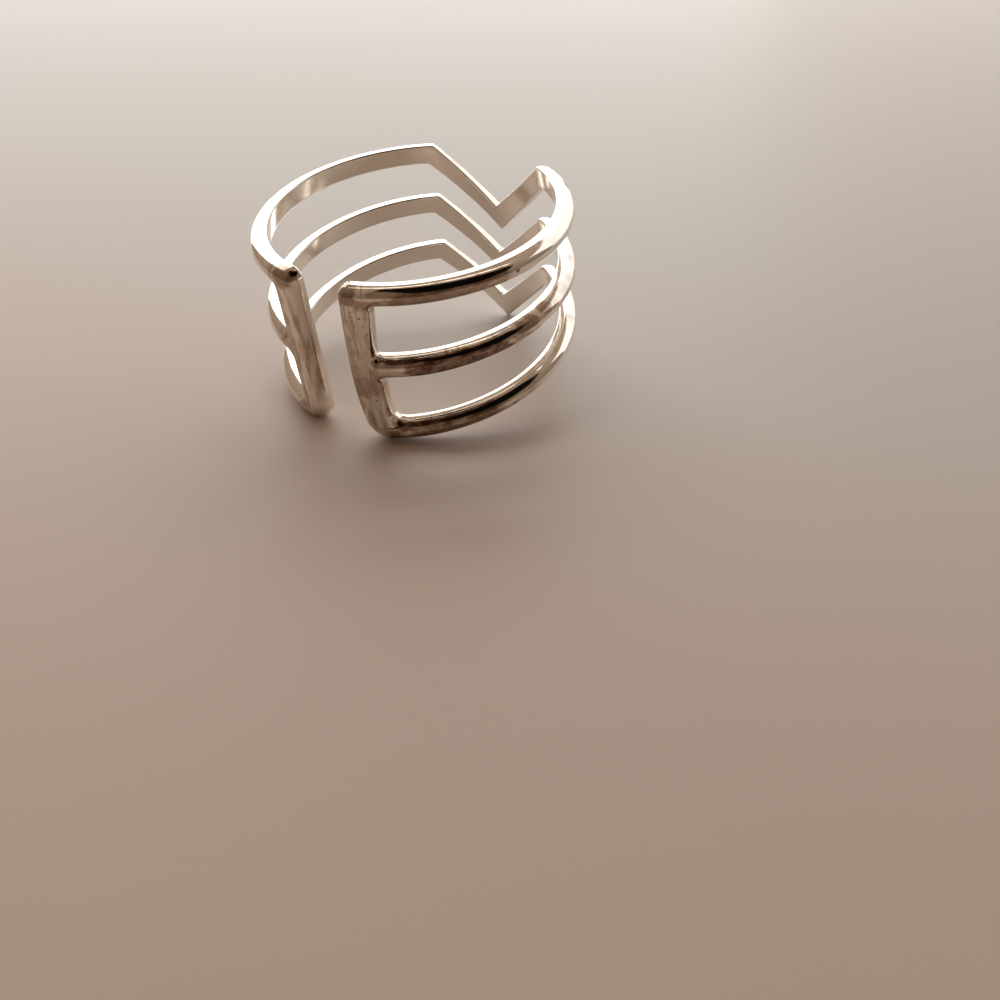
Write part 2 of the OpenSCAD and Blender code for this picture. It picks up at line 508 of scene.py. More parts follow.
    def build(self, name: str) -> bpy.types.Object:
        """Builds the whole flat pattern, whose left half mirrors the right one before it is bent.

        Args:
            name: Name of the new object.

        Returns:
            An object with the pattern in the XY plane, in millimetres, with the attribute tilt.
        """
        for level in Level:
            self.add_band(level)
        for grid in self.points:
            self.round_window_corners(grid[:, 0], grid[:, 1])
        self.add_bar()
        points = np.concatenate(self.points)
        fans = np.concatenate(self.fans * 2)
        slants = np.concatenate(self.slants * 2)
        quads = np.concatenate(self.quads)
        quads = np.concatenate([quads, quads[:, ::-1] + len(points)])
        points = np.concatenate([points, points * [-1, 1]])
        rounded = np.round(points, self.weld_digits)
        _, first, inverse = np.unique(rounded, axis=0, return_index=True, return_inverse=True)
        quads = inverse.reshape(-1)[quads]
        points, fans = points[first], fans[first]
        points[:, 0] += slants[first] + self.swing(points)
        mesh = bpy.data.meshes.new(name)
        mesh.from_pydata(np.column_stack([points, np.zeros(len(points))]).tolist(), [], quads.tolist())
        mesh.validate()
        tilt = mesh.attributes.new("tilt", "FLOAT", "POINT")
        tilt.data.foreach_set("value", fans.astype(np.float32))
        obj = bpy.data.objects.new(name, mesh)
        bpy.context.scene.collection.objects.link(obj)
        return obj

    def swing(self, points: np.ndarray) -> np.ndarray:
        """How far the bars are bent to one side, and the windows' ends lean.

        Args:
            points: Places on the flat pattern.

        Returns:
            The shift of each point along the pattern.
        """
        z, hand = self.sizes, self.hand
        bend_run = z.window_s - hand.bend_spare - hand.bend_start
        share = np.clip((np.abs(points[:, 0]) - hand.bend_start) / bend_run, 0, 1)
        share = share * share * (3 - 2 * share)
        down = (z.mid_z - points[:, 1]) / hand.bar_half
        right = hand.foot_swing * np.clip(down, 0, None) ** 2 - hand.bow * np.clip(1 - down * down, 0, 1)
        left = hand.left_swing + hand.left_twist * down
        near = np.clip(1 - np.abs(points[:, 0] - z.window_s) / (z.gap_s - z.window_s), 0, 1)
        uneven = near * np.interp(points[:, 1], hand.window_ends, hand.window_slants)
        return -share * np.where(points[:, 0] > 0, right, left) - uneven


@dataclass
class HoopWrap:
    """The Geometry Nodes tree that raises the domes and wraps the flat pattern round the finger.

    The domes' tops wave by waviness, in a noise of wave_scale and wave_detail. A point nearer than rim
    to the pattern's edge lies on it, and the inside and the outside are joined there, within weld.
    """

    sizes: HoopSizes
    seed: float = 3.7
    waviness: float = 0.016
    wave_scale: float = 0.55
    wave_detail: float = 1.0
    rim: float = 0.002
    weld: float = 0.0005
    sheet: NodeSheet = field(init=False)
    given: Sockets = field(init=False)

    def named_inputs(self) -> dict[str, float]:
        """Lists the tree's inputs.

        Returns:
            Their names and values, in millimetres and radians.
        """
        z = self.sizes
        return {
            "Wall": z.wall, "Half Band": z.band_w / 2, "Side Rise": z.side_rise,
            "Dome Power": z.dome_power, "Dome Top": z.dome_top, "Shoulder": z.shoulder,
            "Edge Round": z.edge_round, "End Radius": z.end_r, "Side Radius": z.side_r,
            "End Offset": z.end_off, "Side Offset": z.side_off, "Front Run": z.front_run,
            "Side Run": z.side_run, "Lean": math.radians(z.lean), "Shift": z.shift, "Lift": z.lift,
            "Waviness": self.waviness, "Seed": self.seed,
        }

    def tree(self, material: bpy.types.Material) -> bpy.types.NodeTree:
        """Builds the tree.

        Args:
            material: What the ring is made of.

        Returns:
            The tree, which turns the flat pattern into the closed ring.
        """
        tree = bpy.data.node_groups.new("Hoop wrap", "GeometryNodeTree")
        for way in ("INPUT", "OUTPUT"):
            tree.interface.new_socket("Geometry", in_out=way, socket_type="NodeSocketGeometry")
        for name, value in self.named_inputs().items():
            socket = tree.interface.new_socket(name, in_out="INPUT", socket_type="NodeSocketFloat")
            socket.default_value = value
        sheet = self.sheet = NodeSheet(tree)
        self.given = sheet.add("NodeGroupInput").outputs
        flat = self.keep_pattern_place(self.store(self.given["Geometry"], "edge", self.edge_distance()))
        outer = self.wrapped(self.store(flat, "inside", 0.0), self.outer_height(self.read("edge")))
        inner = self.wrapped(self.store(flat, "inside", 1.0), self.inner_height(self.read("edge")))
        join = sheet.add("GeometryNodeJoinGeometry")
        sheet.feed(join.inputs[0], inner)
        sheet.feed(join.inputs[0], sheet.passed(outer, "GeometryNodeFlipFaces", "Mesh"))
        ring = sheet.passed(join.outputs[0], "GeometryNodeMergeByDistance", Distance=self.weld)
        ring = sheet.passed(ring, "GeometryNodeTransform", Scale=(MM, MM, MM))
        ring = sheet.passed(ring, "GeometryNodeSetShadeSmooth")
        ring = sheet.passed(ring, "GeometryNodeRealizeInstances")
        ring = sheet.passed(ring, "GeometryNodeSetMaterial", Material=material)
        sheet.feed(sheet.add("NodeGroupOutput").inputs["Geometry"], ring)
        return tree

    def store(self, geometry: Socket, name: str, value: Value) -> Socket:
        """Stores a number on every point.

        Args:
            geometry: What it is stored on.
            name: The attribute's name.
            value: The number.

        Returns:
            The geometry with the attribute.
        """
        node = self.sheet.add("GeometryNodeStoreNamedAttribute", data_type="FLOAT", domain="POINT")
        for key, item in (("Geometry", geometry), ("Name", name), ("Value", value)):
            self.sheet.feed(node.inputs[key], item)
        return node.outputs["Geometry"]

    def read(self, name: str) -> Socket:
        """Reads a stored number.

        Args:
            name: The attribute's name.

        Returns:
            The number at each point.
        """
        node = self.sheet.add("GeometryNodeInputNamedAttribute", data_type="FLOAT")
        self.sheet.feed(node.inputs["Name"], name)
        return node.outputs["Attribute"]

    def place(self) -> Socket:
        """Reads where each point is."""
        return self.sheet.add("GeometryNodeInputPosition").outputs[0]

    def keep_pattern_place(self, geometry: Socket) -> Socket:
        """Keeps each point's place on the flat pattern, for the material to follow.

        Args:
            geometry: The flat pattern.

        Returns:
            The pattern with the attributes along and height.
        """
        along, height, _ = self.sheet.parts(self.place())
        return self.store(self.store(geometry, "along", along), "height", height)

    def edge_distance(self) -> Socket:
        """Measures how far each point is from the pattern's nearest edge.

        Returns:
            The distance in the flat pattern.
        """
        sheet = self.sheet
        sides = sheet.add("GeometryNodeInputMeshEdgeNeighbors")
        rim = sheet.add("FunctionNodeCompare", data_type="INT", operation="EQUAL")
        sheet.feed(rim.inputs[2], sides.outputs["Face Count"])
        rim.inputs[3].default_value = 1
        split = sheet.add("GeometryNodeSeparateGeometry", domain="EDGE")
        sheet.feed(split.inputs["Geometry"], self.given["Geometry"])
        sheet.feed(split.inputs["Selection"], rim.outputs[0])
        near = sheet.add("GeometryNodeProximity", target_element="EDGES")
        sheet.feed(near.inputs[0], split.outputs["Selection"])
        return near.outputs["Distance"]

    def whole_dome(self, share: Value) -> Socket:
        """Height of a whole dome of height 1.

        Args:
            share: Share of the way from the dome's edge to its middle.

        Returns:
            The height, which a high dome power gives square shoulders.
        """
        m, power = self.sheet.math, self.given["Dome Power"]
        rest = m("SUBTRACT", 1.0, share, clamp=True)
        fall = m("SUBTRACT", 1.0, m("POWER", rest, power), clamp=True)
        return m("POWER", fall, m("DIVIDE", 1.0, power))

    def outer_height(self, edge: Value) -> Socket:
        """Thickness of the metal: a flat side, and a dome that meets it in an edge.

        Args:
            edge: Distance from the pattern's edge.

        Returns:
            The height over the finger hole's wall.
        """
        sheet, m, given = self.sheet, self.sheet.math, self.given
        cut = given["Shoulder"]
        way = m("MULTIPLY_ADD", m("DIVIDE", edge, given["Half Band"]), m("SUBTRACT", 1.0, cut), cut)
        least = self.whole_dome(cut)
        dome = m("DIVIDE", m("SUBTRACT", self.whole_dome(way), least), m("SUBTRACT", 1.0, least))
        noise = sheet.add("ShaderNodeTexNoise", noise_dimensions="4D")
        sheet.feed(noise.inputs["Vector"], self.place())
        sheet.feed(noise.inputs["W"], given["Seed"])
        noise.inputs["Scale"].default_value = self.wave_scale
        noise.inputs["Detail"].default_value = self.wave_detail
        top = m("SUBTRACT", given["Dome Top"], m("MULTIPLY", noise.outputs["Fac"], given["Waviness"]))
        height = m("MULTIPLY_ADD", m("SUBTRACT", top, given["Side Rise"]), dome, given["Side Rise"])
        return sheet.mix(m("LESS_THAN", edge, self.rim), height, given["Edge Round"])

    def inner_height(self, edge: Value) -> Socket:
        """Height of the inside: flat on the finger hole's wall, with rounded edges.

        Args:
            edge: Distance from the pattern's edge.

        Returns:
            The height over the finger hole's wall.
        """
        m, rise = self.sheet.math, self.given["Edge Round"]
        rest = m("SUBTRACT", 1.0, m("DIVIDE", edge, rise), clamp=True)
        round_part = m("SQRT", m("SUBTRACT", 1.0, m("MULTIPLY", rest, rest), clamp=True))
        height = m("MULTIPLY", rise, m("SUBTRACT", 1.0, round_part))
        return self.sheet.mix(m("LESS_THAN", edge, self.rim), height, rise)

    def wrapped(self, flat: Socket, height: Socket) -> Socket:
        """Wraps the flat pattern round the oval of four arcs, and leans it as it rests.

        Args:
            flat: The flat pattern.
            height: Height of each point over the finger hole's wall.

        Returns:
            The wrapped sheet.
        """
        sheet, m, given = self.sheet, self.sheet.math, self.given
        s, v, _ = sheet.parts(self.place())
        side = m("SIGN", s)
        a = m("ABSOLUTE", s)
        half_wall = m("MULTIPLY", given["Wall"], 0.5)
        end_mean = m("ADD", given["End Radius"], half_wall)
        side_mean = m("ADD", given["Side Radius"], half_wall)
        limit = m("DIVIDE", given["Front Run"], end_mean)
        front_part = m("DIVIDE", m("MINIMUM", a, given["Front Run"]), end_mean)
        beyond = m("SUBTRACT", a, given["Front Run"])
        side_part = m("DIVIDE", m("MINIMUM", m("MAXIMUM", beyond, 0.0), given["Side Run"]), side_mean)
        rear_part = m("DIVIDE", m("MAXIMUM", m("SUBTRACT", beyond, given["Side Run"]), 0.0), end_mean)
        angle = m("ADD", m("ADD", front_part, side_part), rear_part)
        front = m("LESS_THAN", angle, limit)
        rear = m("GREATER_THAN", angle, m("SUBTRACT", math.pi, limit))
        end = m("ADD", front, rear)
        radius = m("ADD", sheet.mix(end, given["Side Radius"], given["End Radius"]), height)
        off_x = m("MULTIPLY", m("SUBTRACT", end, 1.0), given["Side Offset"])
        off_y = m("MULTIPLY", m("SUBTRACT", front, rear), given["End Offset"])
        x = m("MULTIPLY", side, m("MULTIPLY_ADD", radius, m("SINE", angle), off_x))
        y = m("MULTIPLY_ADD", radius, m("COSINE", angle), off_y)
        outward = m("MULTIPLY", height, m("COSINE", angle))
        z = m("ADD", v, m("MULTIPLY", self.read("tilt"), outward))
        sine, cosine = m("SINE", given["Lean"]), m("COSINE", given["Lean"])
        lean_y = m("ADD", m("SUBTRACT", m("MULTIPLY", y, cosine), m("MULTIPLY", z, sine)), given["Shift"])
        lean_z = m("ADD", m("ADD", m("MULTIPLY", y, sine), m("MULTIPLY", z, cosine)), given["Lift"])
        return sheet.passed(flat, "GeometryNodeSetPosition", Position=sheet.vector(x, lean_y, lean_z))


@dataclass(frozen=True)
class Noise:
    """A noise pattern on the silver, and what the span of it that counts is mapped onto."""

    scale: float
    detail: float
    span: Span = (0.0, 1.0)
    result: Span = (0.0, 1.0)
    stretch: Triple = (1.0, 1.0, 1.0)


class SilverSheet(NodeSheet):
    """The nodes of the silver, which follow each point's place on the flat pattern."""

    def __init__(self, tree: bpy.types.NodeTree) -> None:
        """Reads the place on the pattern, in millimetres, and the distance from its edge."""
        super().__init__(tree)
        self.pattern = self.vector(*(self.stored(name) for name in ("along", "height", "edge")))

    def stored(self, name: str) -> Socket:
        """Reads a number that the mesh carries."""
        return self.add("ShaderNodeAttribute", attribute_name=name, attribute_type="GEOMETRY").outputs["Fac"]

    def outside(self) -> Socket:
        """Is 1 on the outside of the ring and 0 on its inside."""
        return self.math("SUBTRACT", 1.0, self.stored("inside"))

    def noise(self, noise: Noise) -> Socket:
        """Adds a noise pattern.

        Args:
            noise: Its values.

        Returns:
            The noise from 0 to 1.
        """
        mapping = self.add("ShaderNodeMapping")
        mapping.inputs["Scale"].default_value = noise.stretch
        self.feed(mapping.inputs["Vector"], self.pattern)
        node = self.add("ShaderNodeTexNoise")
        self.feed(node.inputs["Vector"], mapping.outputs[0])
        node.inputs["Scale"].default_value = noise.scale
        node.inputs["Detail"].default_value = noise.detail
        return node.outputs["Fac"]

    def mapped(self, noise: Noise) -> Socket:
        """Adds a noise pattern with its span mapped onto its result."""
        return self.ramp(self.noise(noise), *noise.span, *noise.result)

    def cells(self, scale: float) -> Socket:
        """Adds scattered points.

        Args:
            scale: Points to a millimetre.

        Returns:
            Distance to the nearest point, in cells.
        """
        node = self.add("ShaderNodeTexVoronoi")
        node.inputs["Scale"].default_value = scale
        self.feed(node.inputs["Vector"], self.pattern)
        return node.outputs["Distance"]


@dataclass(frozen=True)
class TarnishAndShadeSpot:
    """A place where the silver is darkened, by tarnish on some spots and by painted shade on others, given by
    its place on the flat pattern in millimetres.

    It reaches reach_along and reach_height from its middle, and strength is 1 where it is darkest.
    """

    along: float
    height: float
    reach_along: float
    reach_height: float
    strength: float


@dataclass(frozen=True)
class WornSilver:
    """Polished silver with light tarnish and some painted shade, fine scratches and small pits.

    The spots darken the silver: first tarnish on the end bars, then the long ones under the bands, which
    are partly tarnish and partly painted shade where the lower halves mirror the shaded table, then a
    painted shadow along the lower band's bottom edge by the end bar, where the ring's contact shadow is
    mirrored, the dark lines from the windows' lower corners, which are painted shade in the corners, and
    small tarnish spots further round.
    """

    name: str = "Worn polished silver"
    clean: Triple = (0.93, 0.87, 0.79)
    amber: Triple = (0.55, 0.43, 0.34)
    tarnish_and_shade_colour: Triple = (0.12, 0.058, 0.036)
    amber_at: float = 0.45
    haze: Noise = Noise(0.5, 2.0, (0.5, 0.75), (0.0, 0.3))
    outline: Noise = Noise(1.2, 4.0, (0.3, 0.7), (-0.4, 0.35), (0.8, 1.3, 1.0))
    mottle: Noise = Noise(1.3, 4.0, (0.32, 0.52), (0.8, 1.0), (1.0, 1.6, 1.0))
    grain: Noise = Noise(4.0, 4.0, (0.35, 0.6), (0.85, 1.0), (1.0, 0.6, 1.0))
    streak: Noise = Noise(1.0, 4.0, (0.46, 0.68), (0.0, 0.5), (3.2, 0.35, 1.0))
    patch: Noise = Noise(0.9, 2.0, (0.50, 0.62))
    polish: Noise = Noise(1.6, 5.0, (0.35, 0.7), (0.055, 0.11))
    scratch: Noise = Noise(6.0, 4.0, stretch=(0.3, 2.0, 0.0))
    dent: Noise = Noise(1.1, 1.0)
    spot_edge: Span = (0.3, 1.0)
    bar_start: Span = (25.6, 26.1)
    speck_cells: float = 3.4
    speck_edge: Span = (0.12, 0.26)
    speck_along: Span = (14.0, 24.0)
    speck_height: Span = (8.7, 9.2)
    satin: float = 0.07
    tarnish_and_shade_roughness: float = 0.12
    pit_cells: float = 0.9
    pit_edge: Span = (0.0, 0.06)
    scratch_depth: float = 0.2
    pit_depth: float = 0.6
    dent_depth: float = 0.8
    bump_strength: float = 0.3
    bump_height: float = 0.00002
    spots: tuple[TarnishAndShadeSpot, ...] = (
        TarnishAndShadeSpot(27.2, 9.4, 0.9, 0.8, 0.7),
        TarnishAndShadeSpot(-27.0, 9.4, 0.8, 0.8, 0.7),
        TarnishAndShadeSpot(-26.3, 4.4, 0.95, 5.4, 0.5),
        TarnishAndShadeSpot(27.4, 4.2, 0.6, 4.8, 0.4),
        TarnishAndShadeSpot(26.0, 4.0, 1.8, 2.0, 0.25),
        TarnishAndShadeSpot(27.0, 3.4, 1.3, 0.9, 0.55),
        # Partly tarnish and partly painted shade: the lower halves of the bands, darkened where they mirror
        # the shaded table.
        TarnishAndShadeSpot(21.2, 4.35, 4.8, 0.9, 0.95),
        TarnishAndShadeSpot(21.5, 0.0, 5.2, 0.8, 0.82),
        TarnishAndShadeSpot(22.2, 8.8, 4.9, 0.85, 0.66),
        # Painted shadow: the ring's contact shadow, mirrored along the lower band's bottom edge by the end
        # bar.
        TarnishAndShadeSpot(25.2, -0.4, 2.6, 0.5, 0.9),
        # Painted shade: thin dark lines in the windows' lower corners, along the tops of the bands.
        TarnishAndShadeSpot(24.6, 5.1, 1.8, 0.11, 1.0),
        TarnishAndShadeSpot(24.2, 0.61, 1.8, 0.12, 1.0),
        TarnishAndShadeSpot(17.0, 5.0, 1.2, 0.3, 0.65),
        TarnishAndShadeSpot(15.2, 5.1, 0.7, 0.25, 0.6),
        TarnishAndShadeSpot(17.6, 8.9, 0.22, 0.14, 0.9),
    )

    def material(self) -> bpy.types.Material:
        """Builds the material.

        Returns:
            A procedural metal that follows the flat pattern's place.
        """
        mat = bpy.data.materials.new(self.name)
        mat.use_nodes = True
        mat.node_tree.nodes.clear()
        sheet = SilverSheet(mat.node_tree)
        shader = sheet.add("ShaderNodeBsdfPrincipled")
        shader.inputs["Metallic"].default_value = 1.0
        sheet.feed(sheet.add("ShaderNodeOutputMaterial").inputs["Surface"], shader.outputs[0])
        # Darkening from tarnish and from the painted shade of the spots under the bands and in the corners.
        tarnish_and_shade = self.tarnish_and_painted_shade(sheet)
        sheet.feed(shader.inputs["Base Color"], self.colour(sheet, tarnish_and_shade))
        sheet.feed(shader.inputs["Roughness"], self.roughness(sheet, tarnish_and_shade))
        sheet.feed(shader.inputs["Normal"], self.relief(sheet))
        return mat

    def spot(self, sheet: SilverSheet, place: TarnishAndShadeSpot, ragged: Socket) -> Socket:
        """How strongly one spot darkens each place.

        Args:
            sheet: The material's nodes.
            place: The spot.
            ragged: Noise that makes the spot's outline uneven.

        Returns:
            Its strength, falling off to nothing at its reach.
        """
        m = sheet.math
        x = m("DIVIDE", m("SUBTRACT", sheet.stored("along"), place.along), place.reach_along)
        y = m("DIVIDE", m("SUBTRACT", sheet.stored("height"), place.height), place.reach_height)
        away = m("ADD", m("MULTIPLY_ADD", x, x, ragged), m("MULTIPLY", y, y))
        return sheet.ramp(away, *self.spot_edge, place.strength, 0.0)

    def tarnish_and_painted_shade(self, sheet: SilverSheet) -> Socket:
        """Patches where the silver is darkened, by tarnish and by painted shade, streaks along the end bars
        and specks.

        Args:
            sheet: The material's nodes.

        Returns:
            How dark each place is, from 0 to 1.
        """
        m = sheet.math
        total = sheet.mapped(self.haze)
        ragged = sheet.mapped(self.outline)
        for place in self.spots:
            total = m("MAXIMUM", total, self.spot(sheet, place, ragged))
        total = m("MULTIPLY", total, m("MULTIPLY", sheet.mapped(self.mottle), sheet.mapped(self.grain)))
        on_bars = sheet.ramp(m("ABSOLUTE", sheet.stored("along")), *self.bar_start)
        total = m("MAXIMUM", total, m("MULTIPLY", sheet.mapped(self.streak), on_bars))
        total = m("MAXIMUM", total, self.specks(sheet))
        return m("MULTIPLY", total, sheet.outside())

    def specks(self, sheet: SilverSheet) -> Socket:
        """Fine dark specks in patches, towards the opening and below the top edge.

        Args:
            sheet: The material's nodes.

        Returns:
            How dark each place is.
        """
        dot = sheet.ramp(sheet.cells(self.speck_cells), *self.speck_edge, 1.0, 0.0)
        near = sheet.ramp(sheet.stored("along"), *self.speck_along)
        low = sheet.ramp(sheet.stored("height"), *self.speck_height, 1.0, 0.0)
        where = sheet.math("MULTIPLY", sheet.mapped(self.patch), near)
        return sheet.math("MULTIPLY", sheet.math("MULTIPLY", dot, low), where)

    def colour(self, sheet: SilverSheet, tarnish_and_shade: Socket) -> Socket:
        """Colour of the metal: thin tarnish is amber and thick tarnish nearly black, and the painted shade of
        the spots darkens it the same way.

        Args:
            sheet: The material's nodes.
            tarnish_and_shade: How dark each place is.

        Returns:
            The base colour.
        """
        ramp = sheet.add("ShaderNodeValToRGB")
        sheet.feed(ramp.inputs["Fac"], tarnish_and_shade)
        stops = ramp.color_ramp.elements
        stops[0].color = (*self.clean, 1.0)
        # The darkest stop serves thick tarnish and the painted shade alike.
        stops[1].color = (*self.tarnish_and_shade_colour, 1.0)
        stops.new(self.amber_at).color = (*self.amber, 1.0)
        return ramp.outputs["Color"]

    def roughness(self, sheet: SilverSheet, tarnish_and_shade: Socket) -> Socket:
        """Roughness of the metal: polished outside, satin inside and rougher where tarnish and painted shade
        darken it.

        Args:
            sheet: The material's nodes.
            tarnish_and_shade: How dark each place is.

        Returns:
            The roughness.
        """
        m = sheet.math
        rough = m("ADD", sheet.mapped(self.polish), m("MULTIPLY", sheet.stored("inside"), self.satin))
        return m("ADD", rough, m("MULTIPLY", tarnish_and_shade, self.tarnish_and_shade_roughness))

    def relief(self, sheet: SilverSheet) -> Socket:
        """Scratches, soft dents and pits.

        Args:
            sheet: The material's nodes.

        Returns:
            The bumped normal.
        """
        m = sheet.math
        scratches = m("MULTIPLY", sheet.noise(self.scratch), self.scratch_depth)
        pit = sheet.ramp(sheet.cells(self.pit_cells), *self.pit_edge)
        worn = m("ADD", scratches, m("MULTIPLY", pit, self.pit_depth))
        dents = m("MULTIPLY", sheet.noise(self.dent), self.dent_depth)
        bump = sheet.add("ShaderNodeBump")
        bump.inputs["Strength"].default_value = self.bump_strength
        bump.inputs["Distance"].default_value = self.bump_height
        sheet.feed(bump.inputs["Height"], m("ADD", m("MULTIPLY", worn, sheet.outside()), dents))
        return bump.outputs[0]


@dataclass
class OpenChevronRing:
    """The ring itself, which replaces the CAD model's plain solid."""

    sizes: HoopSizes = field(default_factory=HoopSizes)
    finish: WornSilver = field(default_factory=WornSilver)

    def build(self) -> bpy.types.Object:
        """Builds the ring and puts it on its body.

        Returns:
            The finished piece.
        """
        pattern = FlatPattern(self.sizes).build("open_hoop")
        wrap = HoopWrap(self.sizes)
        tree = wrap.tree(self.finish.material())
        modifier = pattern.modifiers.new("Hoop wrap", "NODES")
        modifier.node_group = tree
        values = wrap.named_inputs()
        for item in tree.interface.items_tree:
            if item.in_out == "INPUT" and item.name in values:
                modifier[item.identifier] = values[item.name]
        graph = bpy.context.evaluated_depsgraph_get()
        evaluated = pattern.evaluated_get(graph)
        mesh = bpy.data.meshes.new_from_object(evaluated, preserve_all_data_layers=True, depsgraph=graph)
        pattern.modifiers.clear()
        pattern.data = mesh
        self.settle(mesh)
        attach(pattern, "root")
        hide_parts("ring")
        return pattern

    def settle(self, mesh: bpy.types.Mesh) -> None:
        """Lowers the mesh the last hundredths of a millimetre onto the table.

        Args:
            mesh: The finished mesh, changed in place.
        """
        co = np.empty(len(mesh.vertices) * 3, np.float32)
        mesh.vertices.foreach_get("co", co)
        mesh.transform(Matrix.Translation((0, 0, -float(co.reshape(-1, 3)[:, 2].min()))))


def flat_face(name: str, corners: Iterable[Sequence[float]], finish: bpy.types.Material) -> bpy.types.Object:
    """Builds one flat face with four corners.

    Args:
        name: Name of the new object.
        corners: Its corners in order.
        finish: Its material.

    Returns:
        The object, in the scene.
    """
    mesh = bpy.data.meshes.new(name)
    mesh.from_pydata([tuple(corner) for corner in corners], [], [(0, 1, 2, 3)])
    mesh.materials.append(finish)
    face = bpy.data.objects.new(name, mesh)
    bpy.context.scene.collection.objects.link(face)
    return face


@dataclass(frozen=True)
class PaleTable:
    """A plain pale table top, a little warmer in front, in metres."""

    front: Triple = (0.69, 0.555, 0.465)
    back: Triple = (0.64, 0.58, 0.53)
    blend: Span = (-0.02, 0.03)
    half_size: float = 0.6
    roughness: float = 0.5
    gloss: float = 0.3

    def build(self) -> bpy.types.Object:
        """Builds the floor, just under the ring.

        Returns:
            The floor, which isn't part of the object.
        """
        h = self.half_size
        floor = flat_face("table_top", ((-h, -h, 0), (h, -h, 0), (h, h, 0), (-h, h, 0)), self.finish())
        return floor

    def finish(self) -> bpy.types.Material:
        """Builds the table's material.

        Returns:
            A pale material whose colour changes from front to back.
        """
        mat = bpy.data.materials.new("Pale table")
        mat.use_nodes = True
        shader = mat.node_tree.nodes["Principled BSDF"]
        sheet = NodeSheet(mat.node_tree)
        depth = sheet.parts(sheet.add("ShaderNodeTexCoord").outputs["Object"])[1]
        colour = sheet.mix_colour(sheet.ramp(depth, *self.blend), self.front, self.back)
        sheet.feed(shader.inputs["Base Color"], colour)
        shader.inputs["Roughness"].default_value = self.roughness
        shader.inputs["Specular IOR Level"].default_value = self.gloss
        return mat


@dataclass(frozen=True)
class Viewpoint:
    """Where the camera stands, in millimetres, and which ways are right and up in its picture.

    The lens and its sensor are millimetres too, and it sees what lies in clip, in metres.
    """

    place: Triple = (33.573, -49.339, 31.487)
    right: Triple = (0.86227, 0.50577, 0.02632)
    up: Triple = (-0.31087, 0.48754, 0.81588)
    lens: float = 36.0
    sensor: float = 36.0
    clip: Span = (0.001, 10.0)

    def build(self) -> bpy.types.Object:
        """Places the camera.

        Returns:
            The camera, which the scene uses.
        """
        data = bpy.data.cameras.new("camera")
        data.sensor_width = self.sensor
        data.lens = self.lens
        data.clip_start, data.clip_end = self.clip
        camera = bpy.data.objects.new("camera", data)
        right, up = Vector(self.right), Vector(self.up)
        turn = Matrix((right, up, right.cross(up))).transposed().to_4x4()
        camera.matrix_world = Matrix.Translation(Vector(self.place) * MM) @ turn
        bpy.context.scene.collection.objects.link(camera)
        bpy.context.scene.camera = camera
        return camera


@dataclass(frozen=True)
class DarkCard:
    """A card behind the lens, black above and brown below as painted shade, so that the silver has something
    to mirror.

    Sizes are metres. The card's sides and ends are counted from the lens, and foot_span and black_span,
    where its colours change, from the table. left_rise and right_rise say where the black begins higher:
    from where to where, counted from the lens, and by how much.
    """

    behind: float = 0.004
    sides: Span = (-0.030, 0.090)
    ends: Span = (-0.036, 0.125)
    black: Triple = (0.004, 0.003, 0.002)
    painted_shade_brown: Triple = (0.19, 0.13, 0.092)
    foot: Triple = (0.45, 0.34, 0.27)
    foot_span: Span = (0.0, 0.03)
    black_span: Span = (0.039, 0.059)
    left_rise: Triple = (-0.03, 0.008, 0.045)
    right_rise: Triple = (0.05, 0.09, 0.03)

    def build(self, view: Viewpoint) -> bpy.types.Object:
        """Stands the card behind the camera.

        Args:
            view: Where the camera is.

        Returns:
            The card, which isn't part of the object.
        """
        right, up = Vector(view.right), Vector(view.up)
        centre = Vector(view.place) * MM + right.cross(up) * self.behind
        (left, far), (low, high) = self.sides, self.ends
        outline = ((left, low), (far, low), (far, high), (left, high))
        corners = [centre + right * x + up * y for x, y in outline]
        card = flat_face("dark_card", corners, self.finish(view, centre.dot(right)))
        card.visible_camera = False
        return card

    def finish(self, view: Viewpoint, middle: float) -> bpy.types.Material:
        """Builds the card's material.

        Args:
            view: Where the camera is.
            middle: How far to the right the lens is.

        Returns:
            A matt material that is black above, and below it a painted shade, brown and lighter at the foot.
        """
        mat = bpy.data.materials.new("Dark card")
        mat.use_nodes = True
        shader = mat.node_tree.nodes["Principled BSDF"]
        sheet = NodeSheet(mat.node_tree)
        place = sheet.add("ShaderNodeTexCoord").outputs["Object"]
        height = sheet.parts(place)[2]
        sideways = sheet.add("ShaderNodeVectorMath", operation="DOT_PRODUCT")
        sheet.feed(sideways.inputs[0], place)
        sideways.inputs[1].default_value = view.right
        across = sideways.outputs["Value"]
        (start, end, rise), (far_start, far_end, far_rise) = self.left_rise, self.right_rise
        left = sheet.ramp(across, middle + start, middle + end, rise, 0.0)
        right = sheet.ramp(across, middle + far_start, middle + far_end, 0.0, far_rise)
        above = sheet.math("SUBTRACT", height, sheet.math("ADD", left, right))
        # Painted shade: the lower part stands for the shaded table before the lens, brown and lighter at its
        # foot.
        lower = sheet.mix_colour(sheet.ramp(height, *self.foot_span), self.foot, self.painted_shade_brown)
        colour = sheet.mix_colour(sheet.ramp(above, *self.black_span), lower, self.black)
        sheet.feed(shader.inputs["Base Color"], colour)
        shader.inputs["Roughness"].default_value = 1.0
        shader.inputs["Specular IOR Level"].default_value = 0.0
        return mat


